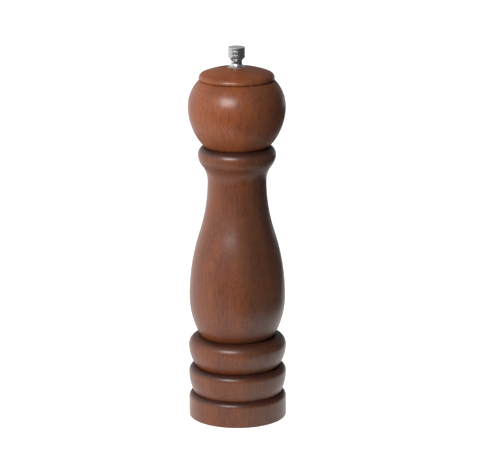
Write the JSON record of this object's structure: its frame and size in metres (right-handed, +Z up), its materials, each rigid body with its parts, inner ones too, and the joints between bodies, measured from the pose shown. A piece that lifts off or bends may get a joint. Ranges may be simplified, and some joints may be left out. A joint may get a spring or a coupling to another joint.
{
  "type": "pepper mill",
  "caption": "Turned wooden pepper mill with a vase-shaped body on a beaded base, a round turning head, a metal adjusting knob and a conical steel grinder underneath.",
  "frame": {"origin": "centre of the underside, on the surface that the mill stands on", "axes": "+Z up along the turning axis, through the knob; +X towards one of the two stator screws"},
  "size_m": [0.066, 0.066, 0.2551],
  "materials": {
    "stained_wood": "reddish-brown stain under satin lacquer",
    "polished_chrome": "polished",
    "brushed_steel": "drawn, brushed",
    "hardened_steel": "dark hardened steel, matt",
    "cast_zinc": "die-cast, satin",
    "plated_steel": "zinc plated",
    "spring_steel": "drawn wire, bright",
    "nylon": "natural nylon"
  },
  "bodies": {
    "mill_body": {"body": "stained_wood", "guide_bridge": "brushed_steel", "stator": "hardened_steel", "stator_housing": "cast_zinc", "stator_screws": "plated_steel"},
    "drive_bush": {"bridge_bush": "nylon", "grinder_spring": "spring_steel"},
    "shaft": {"grinder_shaft": "brushed_steel", "shaft_stop_clip": "plated_steel", "rotor": "hardened_steel", "rotor_washer": "plated_steel", "shaft_foot_clip": "plated_steel", "spring_seat": "plated_steel"},
    "head": {"head": "stained_wood", "drive_plate": "brushed_steel", "drive_plate_screws": "plated_steel"},
    "ferrule": {"top_ferrule": "polished_chrome"},
    "knob": {"adjusting_knob": "polished_chrome", "knob_friction_insert": "nylon"}
  },
  "joints": [
    {"name": "head_turn", "type": "hinge", "parent": "mill_body", "child": "drive_bush", "pos_m": [0, 0, 0.034], "axis": [0, 0, 1], "continuous": true},
    {"name": "head_lift", "type": "slide", "parent": "drive_bush", "child": "head", "axis": [0, 0, 1], "range_m": [0, 0.095]},
    {"name": "grind_adjust", "type": "slide", "parent": "drive_bush", "child": "shaft", "axis": [0, 0, 1], "range_m": [0, 0.0016], "deforming": ["grinder_spring"]},
    {"name": "knob_lift", "type": "slide", "parent": "head", "child": "ferrule", "axis": [0, 0, 1], "range_m": [0, 0.015]},
    {"name": "knob_turn", "type": "hinge", "parent": "ferrule", "child": "knob", "pos_m": [0, 0, 0.2441], "axis": [0, 0, 1], "range_deg": [-720, 0]}
  ],
  "couplings": [
    {"joint": "knob_turn", "follows": "grind_adjust", "rad_per_m": -7854}
  ]
}
